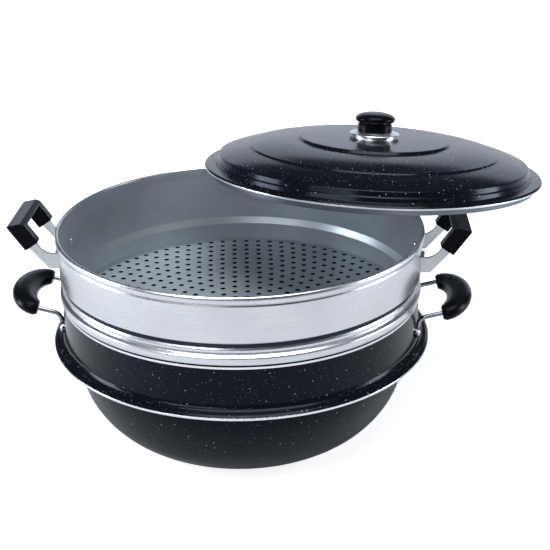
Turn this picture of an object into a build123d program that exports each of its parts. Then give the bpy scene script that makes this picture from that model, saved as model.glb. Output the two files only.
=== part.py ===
# Two-tier steamer pot: a flanged cooking pot, a steamer tier standing in its rim, a loose perforated
# plate in the tier, and a stepped lid with a knob, drawn lifted off and moved aside.
# Millimetres. The origin is the centre of the pot's flat base, +Z is up and the handles lie along X.

from build123d import *
from math import asin, cos, degrees, radians, sin, sqrt
import os

os.makedirs("parts", exist_ok=True)

# Pot
pot_wall = 3.0
pot_height = 155.5
pot_rim_radius = 181.7
bowl_inset = 11.7
bowl_corner = 90.0
flange_width = 11.3
flange_height = 105.0
flange_thickness = 4.5
flare_radius = 7.0
bowl_radius = pot_rim_radius - bowl_inset
base_radius = bowl_radius - bowl_corner
flange_radius = pot_rim_radius + flange_width
pot_mouth_radius = pot_rim_radius - pot_wall
flange_top = flange_height + flange_thickness

# Steamer tier
seat_gap = 0.3
tier_height = 67.2
tier_overhang = 0.9
tier_rim_band = 11.0
tier_rim_step = 2.4
tier_rim_width = 4.0
tier_rim_slope = 2.0
groove_depth = 2.4
valley_depth = 2.6
groove_height = 5.0
upper_bead_inset = 0.8
upper_bead_height = 9.0
lower_bead_overhang = 1.0
lower_bead_height = 9.5
lower_bead_tuck = 0.8
skirt_clearance = 1.9
skirt_wall = 2.0
skirt_depth = 24.0
shoulder_height = 7.0
shoulder_width = 3.6
lip_thickness = 2.0
lip_width = 3.2
skirt_radius = pot_mouth_radius - skirt_clearance
skirt_bore = skirt_radius - skirt_wall
tier_foot_bore = skirt_bore + shoulder_width
tier_wall_radius = pot_rim_radius + tier_overhang
tier_rim_radius = tier_wall_radius + tier_rim_step
tier_mouth_radius = tier_rim_radius - tier_rim_width
seat_height = pot_height + seat_gap
tier_top = seat_height + tier_height
skirt_bottom = seat_height - skirt_depth

# Perforated plate
plate_thickness = 1.6
plate_clearance = 0.6
plate_edge_height = 3.0
plate_edge_width = 1.5
hole_radius = 2.4
hole_pitch = 13.0
plate_turn = 94.2
plate_radius = skirt_bore - plate_clearance
plate_height = skirt_bottom + lip_thickness + seat_gap
hole_rings = int((plate_radius - plate_edge_width - hole_radius) / hole_pitch)

# Lid, heights measured from the lower edge of its flange
lid_wall = 2.6
lid_edge_inset = 1.0
lid_edge_height = 3.6
lid_edge_round = 1.4
lid_flange_width = 11.2
lid_flange_rise = 4.2
lid_riser_height = 8.6
lid_riser_slope = 1.5
lid_step_inset = 15.4
lid_step_height = 14.6
lid_step_drop = 5.0
lid_ring_inset = 48.8
lid_ring_height = 26.0
lid_ring_step = 1.6
lid_ring_slope = 2.0
lid_disc_inset = 103.0
lid_disc_height = 36.4
lid_disc_step = 2.6
lid_disc_slope = 4.0
lid_inner_bulge = 1.4
lid_outer_bulge = 0.8
lid_crown = 1.0
lid_skirt_depth = 6.5
lid_skirt_clearance = 0.9
lid_aside = (136.5, 136.4)
lid_lift = 11.0
lid_tilt = (-6.5, 2.4, 0)
lid_radius = tier_rim_radius - lid_edge_inset
lid_step_radius = lid_radius - lid_step_inset
lid_ring_radius = lid_radius - lid_ring_inset
lid_disc_radius = lid_radius - lid_disc_inset
lid_skirt_radius = pot_mouth_radius - lid_skirt_clearance
lid_top = lid_disc_height + lid_crown
lid_plane = Plane(Location((*lid_aside, tier_top + lid_lift), lid_tilt))

# Knob
knob_radius = 21.6
knob_neck_radius = 18.6
knob_neck_height = 10.5
knob_waist_height = 2.5
knob_waist_depth = 0.6
knob_cap_height = 10.5
knob_cap_bulge = 3.8
knob_crown = 2.8
knob_recess = 2.5
ferrule_radius = 27.5
ferrule_foot_radius = 20.5
ferrule_foot_height = 2.4
ferrule_step_radius = 24.0
ferrule_step_height = 4.4
ferrule_flange_top = 6.4
ferrule_collar = 2.2
ferrule_height = 8.6
ferrule_bore = 4.0
insert_radius = 5.0
insert_height = 12.0
screw_radius = 2.5
screw_head_radius = 5.0
screw_head_height = 2.6
screw_slot_width = 1.2
screw_slot_depth = 1.0
screw_end_gap = 0.5
washer_radius = 9.0
washer_thickness = 1.2
thread_clearance = 0.1

# Wire handles of the pot
wall_gap = 0.3
wire_radius = 2.3
wire_spread = 39.0
wire_rise = 11.0
wire_leg = 8.5
wire_bend_radius = 9.0
eye_radius = 5.2
eye_neck = 7.0
eye_thickness = 2.4
pot_grip_start = 21.5
pot_grip_depth = 20.5
pot_grip_width = 26.0
pot_grip_thickness = 18.0
pot_grip_end_width = 13.0
pot_grip_end_thickness = 12.0
pot_grip_shoulder = 0.2
pot_grip_swell = 0.85
wire_reach = pot_grip_start + pot_grip_depth
eye_height = flange_top + flare_radius + eye_radius + wall_gap
leg_bottom = eye_height + eye_neck
wire_bend_height = leg_bottom + wire_leg

# Strap handles of the tier
strap_thickness = 3.0
strap_width = 10.0
strap_sag = 5.0
strap_heel = 10.0
strap_foot_drop = 38.5
strap_foot_height = 16.0
strap_foot_length = 18.0
strap_foot_clearance = 0.15
grip_start = 22.1
grip_drop = 14.0
grip_ridge_height = 9.9
grip_ridge_reach = 10.2
grip_outer_fall = 12.5
grip_inner_fall = 22.0
grip_rise_angle = 55.0
grip_half_width = 37.5
grip_arm = 12.0
grip_bar = 13.0
grip_length = 32.0
grip_depth = 16.0
grip_chamfer = 2.5
grip_edge = 1.2
grip_cover = 1.5
moulding_clearance = 0.05
strap_spread = grip_half_width - 0.5 * grip_arm

# Rivets
rivet_radius = 2.0
rivet_head_radius = 4.2
rivet_head_height = 2.2
rivet_clearance = 0.05
head_gap = 0.1

# Each handle is made on the +X side and turned about the pot's axis for the other side
sides = (("right", 0), ("left", 180))


def save(piece, name):
    piece.label = name
    export_step(piece, f"parts/{name}.step")


def ring_edges(part, radius):
    circles = part.edges().filter_by(GeomType.CIRCLE)
    return circles.filter_by(lambda edge: abs(edge.radius - radius) < 0.01)


# Plane holding a turned piece's axis, with radius along its x and height along its y
def section_of(plane):
    return Plane(origin=plane.origin, x_dir=plane.x_dir, z_dir=-plane.y_dir)


# Plane on a round wall, its normal pointing straight out, at a distance sideways of the X axis
def wall_plane(radius, sideways, height, turn=0):
    angle = asin(sideways / radius) + radians(turn)
    out = Vector(cos(angle), sin(angle), 0)
    return Plane(origin=out * radius + Vector(0, 0, height), x_dir=(0, 0, 1), z_dir=out)


# Radius of the sphere whose cap has this radius and height
def cap_sphere(radius, height):
    return (radius ** 2 + height ** 2) / (2 * height)


# A rivet through a round wall at a spot on it, a shank with a low domed head at each end
def rivet(spot, outer_radius, inner_radius):
    out = spot.z_dir
    section = Plane(origin=(0, 0, spot.origin.Z), x_dir=out, z_dir=out.cross(Vector(0, 0, 1)))
    outer = outer_radius + head_gap
    inner = inner_radius - head_gap
    sphere = cap_sphere(rivet_head_radius, rivet_head_height)
    spread = degrees(asin(rivet_head_radius / sphere))
    with BuildPart() as one:
        with BuildSketch(section):
            with BuildLine():
                Line((inner - rivet_head_height, 0), (outer + rivet_head_height, 0))
                CenterArc((outer + rivet_head_height - sphere, 0), sphere, 0, spread)
                Polyline(
                    (outer, rivet_head_radius),
                    (outer, rivet_radius),
                    (inner, rivet_radius),
                    (inner, rivet_head_radius),
                )
                CenterArc((inner - rivet_head_height + sphere, 0), sphere, 180 - spread, spread)
            make_face()
        revolve(axis=Axis(section.origin, out))
    return one.part


# Pot body: flat base, round bowl, flange, and an upright wall that flares into the flange
with BuildPart() as pot_body:
    with BuildSketch(Plane.XZ):
        with BuildLine():
            Line((0, 0), (base_radius, 0))
            JernArc((base_radius, 0), (1, 0), bowl_corner, 90)
            Polyline(
                (bowl_radius, bowl_corner),
                (bowl_radius, flange_height),
                (flange_radius, flange_height),
                (flange_radius, flange_top),
                (pot_rim_radius + flare_radius, flange_top),
            )
            JernArc((pot_rim_radius + flare_radius, flange_top), (-1, 0), flare_radius, -90)
            Polyline(
                (pot_rim_radius, flange_top + flare_radius),
                (pot_rim_radius, pot_height),
                (pot_mouth_radius, pot_height),
                (pot_mouth_radius, flange_top + pot_wall),
                (bowl_radius - pot_wall, flange_height + pot_wall),
                (bowl_radius - pot_wall, bowl_corner),
            )
            JernArc((bowl_radius - pot_wall, bowl_corner), (0, -1), bowl_corner - pot_wall, -90)
            Polyline((base_radius, pot_wall), (0, pot_wall), (0, 0))
        make_face()
    revolve(axis=Axis.Z)
    fillet(ring_edges(pot_body, flange_radius), 0.35 * flange_thickness)
    for radius in (pot_rim_radius, pot_mouth_radius):
        fillet(ring_edges(pot_body, radius).group_by(Axis.Z)[-1], 0.3 * pot_wall)
    for sideways in (-wire_spread, wire_spread):
        for side, turn in sides:
            with Locations(wall_plane(pot_rim_radius, sideways, eye_height, turn)):
                Cylinder(rivet_radius + rivet_clearance, 4 * pot_wall, mode=Mode.SUBTRACT)
save(pot_body.part, "pot_body")

# Steamer tier: a thick rim band, a plain wall, two rolled beads over the seat, and a skirt with an
# inward lip for the plate
groove_bottom = seat_height + lower_bead_height + upper_bead_height
band_bottom = tier_top - tier_rim_band
groove_radius = tier_wall_radius - groove_depth
valley_radius = tier_wall_radius - valley_depth
upper_bead_radius = tier_wall_radius - upper_bead_inset
lower_bead_radius = tier_wall_radius + lower_bead_overhang
bead_root = seat_height + lower_bead_height
shoulder_top = seat_height + shoulder_height
arm_outer = strap_spread + 0.5 * strap_thickness
strap_foot_end = arm_outer - strap_foot_length
strap_rivet_spread = 0.5 * (strap_foot_end + arm_outer - strap_thickness)
strap_foot_bottom = tier_top - strap_foot_drop
strap_rivet_height = strap_foot_bottom + 0.5 * strap_foot_height
with BuildPart() as steamer_tier:
    with BuildSketch(Plane.XZ):
        with BuildLine():
            Polyline(
                (tier_mouth_radius, tier_top),
                (tier_rim_radius, tier_top),
                (tier_rim_radius, band_bottom),
                (tier_wall_radius, band_bottom - tier_rim_slope),
                (tier_wall_radius, groove_bottom + groove_height + groove_depth),
                (groove_radius, groove_bottom + groove_height),
                (groove_radius, groove_bottom),
            )
            ThreePointArc(
                (groove_radius, groove_bottom),
                (upper_bead_radius, bead_root + 0.5 * upper_bead_height),
                (valley_radius, bead_root),
            )
            ThreePointArc(
                (valley_radius, bead_root),
                (lower_bead_radius, seat_height + 0.5 * lower_bead_height),
                (lower_bead_radius - lower_bead_tuck, seat_height),
            )
            Polyline(
                (lower_bead_radius - lower_bead_tuck, seat_height),
                (skirt_radius, seat_height),
                (skirt_radius, skirt_bottom),
                (skirt_bore - lip_width, skirt_bottom),
                (skirt_bore - lip_width, skirt_bottom + lip_thickness),
                (skirt_bore, skirt_bottom + lip_thickness),
                (skirt_bore, seat_height),
                (tier_foot_bore, shoulder_top),
                (tier_mouth_radius, band_bottom),
                (tier_mouth_radius, tier_top),
            )
        make_face()
    revolve(axis=Axis.Z)
    fillet(ring_edges(steamer_tier, tier_rim_radius).group_by(Axis.Z)[-1], 0.4 * tier_rim_width)
    fillet(ring_edges(steamer_tier, tier_mouth_radius).group_by(Axis.Z)[-1], 0.3 * tier_rim_width)
    for sideways in (-strap_rivet_spread, strap_rivet_spread):
        for side, turn in sides:
            with Locations(wall_plane(tier_wall_radius, sideways, strap_rivet_height, turn)):
                Cylinder(rivet_radius + rivet_clearance, 4 * tier_rim_width, mode=Mode.SUBTRACT)
save(steamer_tier.part, "steamer_tier")

# Perforated plate: a flat disc with an upturned edge and rings of round holes, six more to each ring
with BuildPart() as steam_plate:
    with BuildSketch(Plane.XY.offset(plate_height)):
        Circle(plate_radius)
        Circle(hole_radius, mode=Mode.SUBTRACT)
        for ring in range(1, hole_rings + 1):
            with PolarLocations(ring * hole_pitch, 6 * ring, start_angle=plate_turn + 30 / ring):
                Circle(hole_radius, mode=Mode.SUBTRACT)
    extrude(amount=plate_thickness)
    with BuildSketch(Plane.XY.offset(plate_height + plate_thickness)):
        Circle(plate_radius)
        Circle(plate_radius - plate_edge_width, mode=Mode.SUBTRACT)
    extrude(amount=plate_edge_height - plate_thickness)
save(steam_plate.part, "steam_plate")

# Lid shell: flange, riser, two domed zones with small steps between them, and a raised centre disc
flange_inner = lid_radius - lid_flange_width
crown_sphere = cap_sphere(lid_disc_radius, lid_crown)
crown_spread = degrees(asin(lid_disc_radius / crown_sphere))
lid_underside = lid_disc_height - lid_wall
ring_foot = lid_ring_height - lid_ring_step
disc_foot = lid_disc_height - lid_disc_step
inner_middle = 0.5 * (lid_disc_radius + lid_ring_radius)
outer_middle = 0.5 * (lid_ring_radius + lid_step_radius)
with BuildPart() as lid_shell:
    with BuildSketch(section_of(lid_plane)):
        with BuildLine():
            CenterArc((0, lid_top - crown_sphere), crown_sphere, 90 - crown_spread, crown_spread)
            Line((lid_disc_radius, lid_disc_height), (lid_disc_radius + lid_disc_slope, disc_foot))
            ThreePointArc(
                (lid_disc_radius + lid_disc_slope, disc_foot),
                (inner_middle, 0.5 * (disc_foot + lid_ring_height) + lid_inner_bulge),
                (lid_ring_radius, lid_ring_height),
            )
            Line((lid_ring_radius, lid_ring_height), (lid_ring_radius + lid_ring_slope, ring_foot))
            ThreePointArc(
                (lid_ring_radius + lid_ring_slope, ring_foot),
                (outer_middle, 0.5 * (ring_foot + lid_step_height) + lid_outer_bulge),
                (lid_step_radius, lid_step_height),
            )
            Polyline(
                (lid_step_radius, lid_step_height),
                (lid_step_radius + lid_riser_slope, lid_step_height - lid_step_drop),
                (flange_inner - lid_riser_slope, lid_riser_height),
                (flange_inner, lid_flange_rise),
                (lid_radius - lid_edge_round, lid_edge_height),
                (lid_radius, lid_edge_height - lid_edge_round),
                (lid_radius, 0),
                (lid_skirt_radius, 0),
                (lid_skirt_radius, -lid_skirt_depth),
                (lid_skirt_radius - lid_wall, -lid_skirt_depth),
                (lid_skirt_radius - lid_wall, lid_flange_rise - lid_wall),
                (flange_inner - lid_wall, lid_flange_rise - lid_wall),
                (lid_step_radius - lid_riser_slope, lid_step_height - lid_riser_slope - lid_wall),
                (lid_ring_radius, ring_foot - lid_wall),
            )
            ThreePointArc(
                (lid_ring_radius, ring_foot - lid_wall),
                (inner_middle, 0.5 * (disc_foot + ring_foot) + lid_inner_bulge - lid_wall),
                (lid_disc_radius, disc_foot - lid_wall),
            )
            Polyline(
                (lid_disc_radius, disc_foot - lid_wall),
                (lid_disc_radius - lid_disc_slope, lid_underside),
                (0, lid_underside),
                (0, lid_top),
            )
        make_face()
    revolve(axis=Axis(lid_plane.origin, lid_plane.z_dir))
    with Locations(lid_plane):
        Cylinder(screw_radius + thread_clearance, 4 * lid_top, mode=Mode.SUBTRACT)
save(lid_shell.part, "lid_shell")

# Knob fastening, up the lid's axis: screw head, washer, lid, ferrule, and the insert in the knob
washer_bottom = lid_underside - head_gap - washer_thickness
ferrule_top = lid_top + ferrule_height
knob_base = ferrule_top - knob_recess
screw_top = knob_base + insert_height - screw_end_gap
knob_cap_base = knob_base + knob_neck_height
knob_top = knob_cap_base + knob_cap_height
waist_base = knob_cap_base - knob_waist_height
knob_sphere = cap_sphere(knob_neck_radius, knob_crown)
knob_spread = degrees(asin(knob_neck_radius / knob_sphere))
knob_axis = Axis(lid_plane.origin, lid_plane.z_dir)

with BuildPart() as knob_washer:
    with BuildSketch(lid_plane.offset(washer_bottom)):
        Circle(washer_radius)
        Circle(screw_radius + thread_clearance, mode=Mode.SUBTRACT)
    extrude(amount=washer_thickness)
save(knob_washer.part, "knob_washer")

with BuildPart() as knob_screw:
    with BuildSketch(lid_plane.offset(washer_bottom - head_gap - screw_head_height)):
        Circle(screw_head_radius)
    extrude(amount=screw_head_height)
    fillet(knob_screw.edges().filter_by(GeomType.CIRCLE).group_by(knob_axis)[0], 0.4 * screw_head_height)
    with BuildSketch(lid_plane.offset(washer_bottom - head_gap)):
        Circle(screw_radius)
    extrude(amount=screw_top - washer_bottom + head_gap)
    with BuildSketch(lid_plane.offset(washer_bottom - head_gap - screw_head_height)):
        Rectangle(3 * screw_head_radius, screw_slot_width)
    extrude(amount=screw_slot_depth, mode=Mode.SUBTRACT)
save(knob_screw.part, "knob_screw")

# Ferrule: a chrome dish with two steps up to a wide flange and a collar round the knob's neck
collar_bore = knob_neck_radius + moulding_clearance
with BuildPart() as knob_ferrule:
    with BuildSketch(section_of(lid_plane)):
        with BuildLine():
            Polyline(
                (ferrule_bore, lid_top),
                (ferrule_foot_radius, lid_top),
                (ferrule_foot_radius, lid_top + ferrule_foot_height),
                (ferrule_step_radius, lid_top + ferrule_foot_height),
                (ferrule_step_radius, lid_top + ferrule_step_height),
                (ferrule_radius, lid_top + ferrule_step_height),
                (ferrule_radius, lid_top + ferrule_flange_top),
                (collar_bore + ferrule_collar, lid_top + ferrule_flange_top),
                (collar_bore + ferrule_collar, ferrule_top),
                (collar_bore, ferrule_top),
                (collar_bore, knob_base - head_gap),
                (ferrule_bore, knob_base - head_gap),
                (ferrule_bore, lid_top),
            )
        make_face()
    revolve(axis=knob_axis)
    fillet(ring_edges(knob_ferrule, ferrule_radius), 0.4 * (ferrule_flange_top - ferrule_step_height))
save(knob_ferrule.part, "knob_ferrule")

# Brass insert moulded into the knob, threaded for the screw
with BuildPart() as knob_insert:
    with BuildSketch(lid_plane.offset(knob_base)):
        Circle(insert_radius)
        Circle(screw_radius + thread_clearance, mode=Mode.SUBTRACT)
    extrude(amount=insert_height)
save(knob_insert.part, "knob_insert")

# Knob: a straight neck with a shallow waist under a low mushroom cap
with BuildPart() as lid_knob:
    with BuildSketch(section_of(lid_plane)):
        with BuildLine():
            Line((0, knob_base), (knob_neck_radius, knob_base))
            Line((knob_neck_radius, knob_base), (knob_neck_radius, waist_base))
            ThreePointArc(
                (knob_neck_radius, waist_base),
                (knob_neck_radius - knob_waist_depth, 0.5 * (waist_base + knob_cap_base)),
                (knob_neck_radius, knob_cap_base),
            )
            ThreePointArc(
                (knob_neck_radius, knob_cap_base),
                (knob_radius, knob_cap_base + knob_cap_bulge),
                (knob_neck_radius, knob_top - knob_crown),
            )
            CenterArc((0, knob_top - knob_sphere), knob_sphere, 90 - knob_spread, knob_spread)
            Line((0, knob_top), (0, knob_base))
        make_face()
    revolve(axis=knob_axis)
    with BuildSketch(lid_plane.offset(knob_base)):
        Circle(insert_radius + moulding_clearance)
    extrude(amount=insert_height + moulding_clearance, mode=Mode.SUBTRACT)
save(lid_knob.part, "lid_knob")

# Wire handle of the pot: a loop whose two legs run down the wall and end in riveted eyes
leg_radius = pot_rim_radius + wall_gap + wire_radius
leg_x = sqrt(leg_radius ** 2 - wire_spread ** 2)
grip_x = pot_rim_radius + wire_reach
wire_top = wire_bend_height + wire_rise
with BuildLine() as wire_path:
    FilletPolyline(
        (leg_x, -wire_spread, leg_bottom),
        (leg_x, -wire_spread, wire_bend_height),
        (grip_x, -wire_spread, wire_top),
        (grip_x, wire_spread, wire_top),
        (leg_x, wire_spread, wire_bend_height),
        (leg_x, wire_spread, leg_bottom),
        radius=[wire_bend_radius, pot_grip_depth, pot_grip_depth, wire_bend_radius],
    )
wire_start = Plane(origin=(leg_x, -wire_spread, leg_bottom), z_dir=(0, 0, 1))
with BuildPart() as pot_wire:
    with BuildSketch(wire_start):
        Circle(wire_radius)
    sweep(path=wire_path.line)
    for sideways in (-wire_spread, wire_spread):
        spot = wall_plane(pot_rim_radius, sideways, eye_height)
        with BuildSketch(spot.offset(wall_gap)):
            Circle(eye_radius)
            with Locations((0.5 * (eye_neck + wire_radius), 0)):
                Rectangle(eye_neck + wire_radius, 2 * wire_radius)
        extrude(amount=eye_thickness)
        with Locations(spot):
            Cylinder(rivet_radius + rivet_clearance, 4 * eye_thickness, mode=Mode.SUBTRACT)

# Grip of the wire handle: a crescent moulded round the wire, thick in the middle, its plane rising
slope = Vector(grip_x - leg_x, 0, wire_rise).normalized()
crescent_x = pot_rim_radius + pot_grip_start
crescent_z = wire_bend_height + wire_rise * (crescent_x - leg_x) / (grip_x - leg_x)
crescent_plane = Plane(origin=(crescent_x, 0, crescent_z), x_dir=slope, z_dir=slope.cross(Vector(0, 1, 0)))
swollen_width = pot_grip_end_width + pot_grip_swell * (pot_grip_width - pot_grip_end_width)
swollen_thickness = pot_grip_end_thickness + pot_grip_swell * (pot_grip_thickness - pot_grip_end_thickness)
crescent_sizes = (
    (0, pot_grip_end_width, pot_grip_end_thickness),
    (pot_grip_shoulder, swollen_width, swollen_thickness),
    (0.5, pot_grip_width, pot_grip_thickness),
    (1 - pot_grip_shoulder, swollen_width, swollen_thickness),
    (1, pot_grip_end_width, pot_grip_end_thickness),
)
with BuildPart() as pot_grip:
    with BuildLine(crescent_plane) as crescent:
        EllipticalCenterArc((0, 0), pot_grip_depth, wire_spread, start_angle=-90, arc_size=180)
    for along, width, thickness in crescent_sizes:
        along_path = crescent.line % along
        inward = crescent_plane.z_dir.cross(along_path)
        with BuildSketch(Plane(origin=crescent.line @ along, x_dir=inward, z_dir=along_path)):
            Ellipse(0.5 * width, 0.5 * thickness)
    sweep(path=crescent.line, multisection=True)
    add(pot_wire.part, mode=Mode.SUBTRACT)

# Strap handle of the tier: feet riveted to the wall, arms rising from them, and a bar across
rise = radians(grip_rise_angle)
arm_x = tier_wall_radius + grip_start
arm_z = tier_top - grip_drop
arm_plane = Plane(origin=(arm_x, 0, arm_z), x_dir=(0, 1, 0), z_dir=(sin(rise), 0, -cos(rise)))
bar_start = grip_length - grip_bar + grip_cover
foot_bore = tier_wall_radius + strap_foot_clearance
foot_top = strap_foot_bottom + strap_foot_height
half_strap = 0.5 * strap_width
across = Vector(sin(rise), 0, -cos(rise)) * half_strap
arm_low = (arm_x + across.X, arm_z + across.Z)
arm_high = (arm_x - across.X, arm_z - across.Z)
wall_x = sqrt(foot_bore ** 2 - arm_outer ** 2)
root_x = wall_x - strap_thickness
arm_middle = (0.5 * (arm_high[0] + wall_x), 0.5 * (arm_high[1] + foot_top) - strap_sag)
with BuildPart() as steamer_strap:
    with BuildSketch(arm_plane):
        with Locations((0.5 * arm_outer, bar_start + 0.5 * strap_thickness)):
            Rectangle(arm_outer, strap_thickness)
        with Locations((strap_spread, 0.5 * (bar_start + strap_thickness))):
            Rectangle(strap_thickness, bar_start + strap_thickness)
    extrude(amount=half_strap, both=True)
    with BuildSketch(Plane.XZ.offset(-arm_outer)):
        with BuildLine():
            Polyline(
                (root_x, strap_foot_bottom),
                (wall_x + strap_heel, strap_foot_bottom),
                arm_low,
                arm_high,
            )
            ThreePointArc(arm_high, arm_middle, (wall_x, foot_top))
            Polyline((wall_x, foot_top), (root_x, foot_top), (root_x, strap_foot_bottom))
        make_face()
    extrude(amount=strap_thickness)
    with BuildSketch(Plane.XY.offset(strap_foot_bottom)):
        with Locations((tier_wall_radius, 0.5 * (strap_foot_end + arm_outer))):
            Rectangle(4 * strap_thickness, arm_outer - strap_foot_end)
        Circle(foot_bore + strap_thickness, mode=Mode.INTERSECT)
    extrude(amount=strap_foot_height)
    with BuildSketch(Plane.XY.offset(strap_foot_bottom)):
        Circle(foot_bore)
    extrude(amount=2 * strap_foot_height, mode=Mode.SUBTRACT)
    with Locations(wall_plane(tier_wall_radius, strap_rivet_spread, strap_rivet_height)):
        Cylinder(rivet_radius + rivet_clearance, 4 * strap_thickness, mode=Mode.SUBTRACT)
    mirror(about=Plane.XZ)

# Grip of the strap handle: an angular U with cut corners and a low ridge on top, moulded round the strap
ridge = (arm_x + grip_ridge_reach, 0, tier_top + grip_ridge_height)
with BuildPart() as steamer_grip:
    with BuildSketch(arm_plane):
        with Locations((0, 0.5 * grip_length)):
            Rectangle(2 * grip_half_width, grip_length)
        with Locations((0, 0.5 * (grip_length - grip_bar))):
            Rectangle(2 * (grip_half_width - grip_arm), grip_length - grip_bar, mode=Mode.SUBTRACT)
    extrude(amount=0.5 * grip_depth, both=True)
    outer_corners = steamer_grip.edges().filter_by(Axis((0, 0, 0), arm_plane.z_dir))
    outer_corners = outer_corners.sort_by(Axis((0, 0, 0), arm_plane.y_dir))[-2:]
    chamfer(outer_corners, grip_chamfer)
    for fall in (grip_outer_fall, -grip_inner_fall):
        cut_normal = (sin(radians(fall)), 0, cos(radians(fall)))
        split(bisect_by=Plane(origin=ridge, x_dir=(0, 1, 0), z_dir=cut_normal), keep=Keep.BOTTOM)
    fillet(steamer_grip.edges(), grip_edge)
    add(steamer_strap.part, mode=Mode.SUBTRACT)

# Rivets, two to each handle; the tier's bore tapers, so its heads sit at the bore of their own height
taper = (tier_mouth_radius - tier_foot_bore) / (band_bottom - shoulder_top)
tier_rivet_bore = tier_foot_bore + taper * (strap_foot_bottom - shoulder_top)
pot_rivet_pair = []
steamer_rivet_pair = []
for sideways in (-1, 1):
    pot_spot = wall_plane(pot_rim_radius, sideways * wire_spread, eye_height)
    tier_spot = wall_plane(tier_wall_radius, sideways * strap_rivet_spread, strap_rivet_height)
    pot_rivet_pair.append(rivet(pot_spot, pot_rim_radius + wall_gap + eye_thickness, pot_mouth_radius))
    steamer_rivet_pair.append(rivet(tier_spot, foot_bore + strap_thickness, tier_rivet_bore))

for side, turn in sides:
    save(pot_wire.part.rotate(Axis.Z, turn), f"pot_wire_{side}")
    save(pot_grip.part.rotate(Axis.Z, turn), f"pot_grip_{side}")
    save(steamer_strap.part.rotate(Axis.Z, turn), f"steamer_strap_{side}")
    save(steamer_grip.part.rotate(Axis.Z, turn), f"steamer_grip_{side}")
    save(Compound(pot_rivet_pair).rotate(Axis.Z, turn), f"pot_rivets_{side}")
    save(Compound(steamer_rivet_pair).rotate(Axis.Z, turn), f"steamer_rivets_{side}")
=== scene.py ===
import bpy
import math
from mathutils import Matrix, Vector


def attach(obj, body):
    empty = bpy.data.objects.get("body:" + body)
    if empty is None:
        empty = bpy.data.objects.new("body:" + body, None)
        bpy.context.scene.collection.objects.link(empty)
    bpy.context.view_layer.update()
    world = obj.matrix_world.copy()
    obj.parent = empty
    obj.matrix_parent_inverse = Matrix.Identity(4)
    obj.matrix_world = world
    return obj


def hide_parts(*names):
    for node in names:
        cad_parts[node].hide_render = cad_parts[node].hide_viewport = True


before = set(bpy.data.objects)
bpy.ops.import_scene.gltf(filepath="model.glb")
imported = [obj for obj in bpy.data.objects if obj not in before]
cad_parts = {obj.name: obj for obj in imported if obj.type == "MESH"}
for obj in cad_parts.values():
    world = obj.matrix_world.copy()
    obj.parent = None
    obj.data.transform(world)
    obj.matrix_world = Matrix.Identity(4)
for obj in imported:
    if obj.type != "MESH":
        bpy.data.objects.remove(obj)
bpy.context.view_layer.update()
mm = 0.001
print("frame loaded")


# sRGB hex text to linear colour
def linearColour(hexText):
    channels = [int(hexText[i:i + 2], 16) / 255 for i in (1, 3, 5)]
    return [c / 12.92 if c <= 0.04045 else ((c + 0.055) / 1.055) ** 2.4 for c in channels] + [1.0]


# A new material's node tree with its principled shader
def newMaterial(name):
    material = bpy.data.materials.new(name)
    material.use_nodes = True
    return material, material.node_tree.nodes["Principled BSDF"]


# Adds a node: settings are its own properties, inputs are values or the sockets that feed them
def addNode(material, kind, settings={}, inputs={}):
    node = material.node_tree.nodes.new(kind)
    for name, value in settings.items():
        setattr(node, name, value)
    setInputs(material, node, inputs)
    return node


def setInputs(material, node, inputs):
    for name, value in inputs.items():
        if isinstance(value, bpy.types.NodeSocket):
            material.node_tree.links.new(value, node.inputs[name])
        else:
            node.inputs[name].default_value = value


# Gives each named CAD node or piece its finish
def dress(finish, *names):
    for name in names:
        mesh = bpy.data.objects[name].data
        mesh.materials.clear()
        mesh.materials.append(finish)


# Leaves edit mode and deselects all, so that the next piece starts alone
def startMesh():
    if bpy.context.object and bpy.context.object.mode != "OBJECT":
        bpy.ops.object.mode_set(mode="OBJECT")
    bpy.ops.object.select_all(action="DESELECT")


# Rounds the corners of an outline: each point is (radius, height) or (radius, height, corner radius)
def roundCorners(points, steps=5):
    outline = []
    for i, point in enumerate(points):
        here = Vector(point[:2])
        corner = point[2] if len(point) > 2 else 0
        if corner == 0 or i in (0, len(points) - 1):
            outline.append(here)
            continue
        back = Vector(points[i - 1][:2]) - here
        ahead = Vector(points[i + 1][:2]) - here
        nearlyHalf = 0.49 * min(back.length, ahead.length)
        reach = min(corner / math.tan(back.angle(ahead) / 2), nearlyHalf)
        first = here + back.normalized() * reach
        last = here + ahead.normalized() * reach
        for step in range(steps + 1):
            share = step / steps
            outline.append(first.lerp(here, share).lerp(here.lerp(last, share), share))
    return outline


# Points of an arc about a centre, both ends included
def arcPoints(centre, radius, startDeg, endDeg, steps):
    turns = [math.radians(startDeg + (endDeg - startDeg) * i / steps) for i in range(steps + 1)]
    return [(centre[0] + radius * math.cos(a), centre[1] + radius * math.sin(a)) for a in turns]


# Points of a line that bulges up at its middle, both ends included
def bulgedPoints(start, end, bulge, steps):
    points = []
    for i in range(steps + 1):
        share = i / steps
        across = start[0] + (end[0] - start[0]) * share
        height = start[1] + (end[1] - start[1]) * share
        points.append((across, height + 4 * bulge * share * (1 - share)))
    return points


# Least step along an outline and reach of the merge in mm, and the bend up to which an edge looks smooth
lathe = {"leastStep": 0.004, "mergeReach": 0.003, "smoothDeg": 32}


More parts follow.
